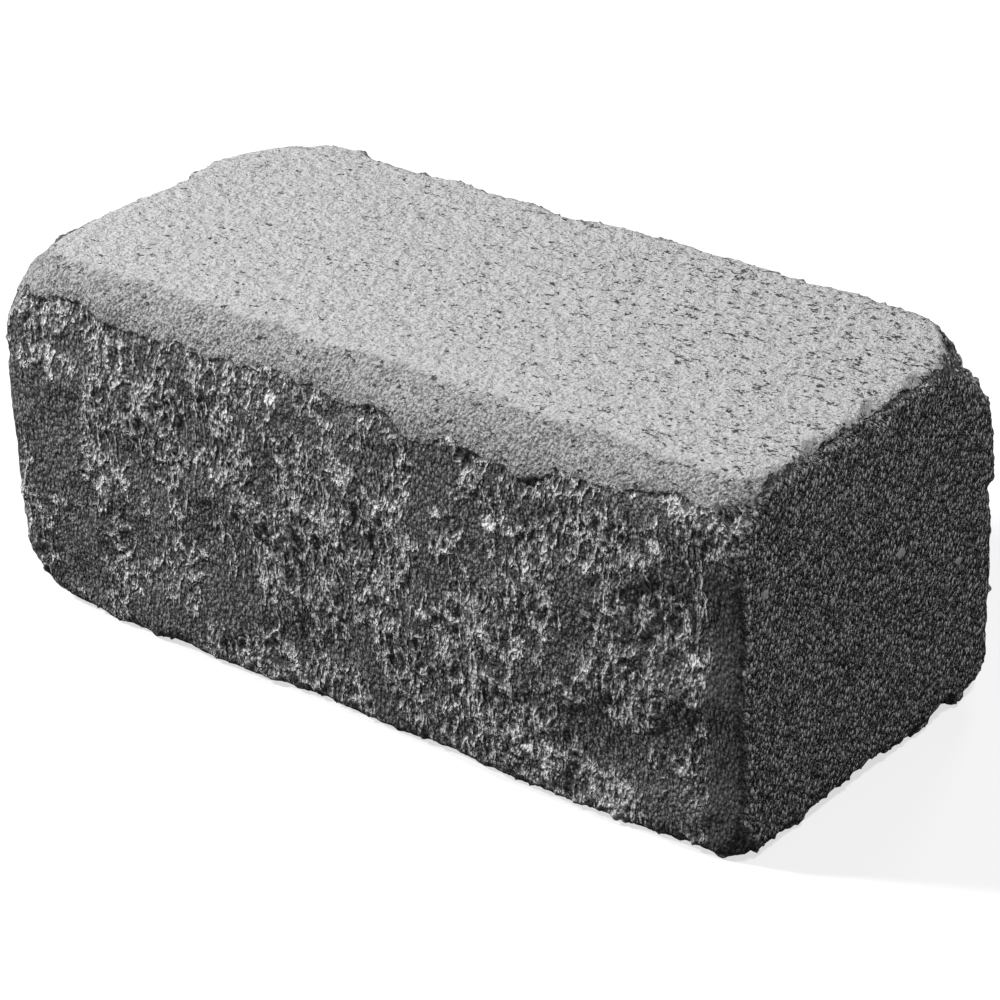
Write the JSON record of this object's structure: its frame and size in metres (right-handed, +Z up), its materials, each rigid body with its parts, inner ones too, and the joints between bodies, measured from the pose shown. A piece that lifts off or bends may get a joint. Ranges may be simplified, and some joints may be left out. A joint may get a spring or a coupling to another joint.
{
  "type": "concrete wall block",
  "caption": "Tumbled concrete walling block with one split face, for laying in courses in low garden and retaining walls.",
  "frame": {"origin": "centre of the bed, on the level that the block stands on", "axes": "+X along the block's length, +Y from the split face to the moulded back, +Z up"},
  "size_m": [0.3, 0.14, 0.125],
  "materials": {
    "cast_concrete": "open-grained anthracite concrete, split on one long side"
  },
  "bodies": {
    "root": {"wall_block": "cast_concrete"}
  },
  "joints": []
}
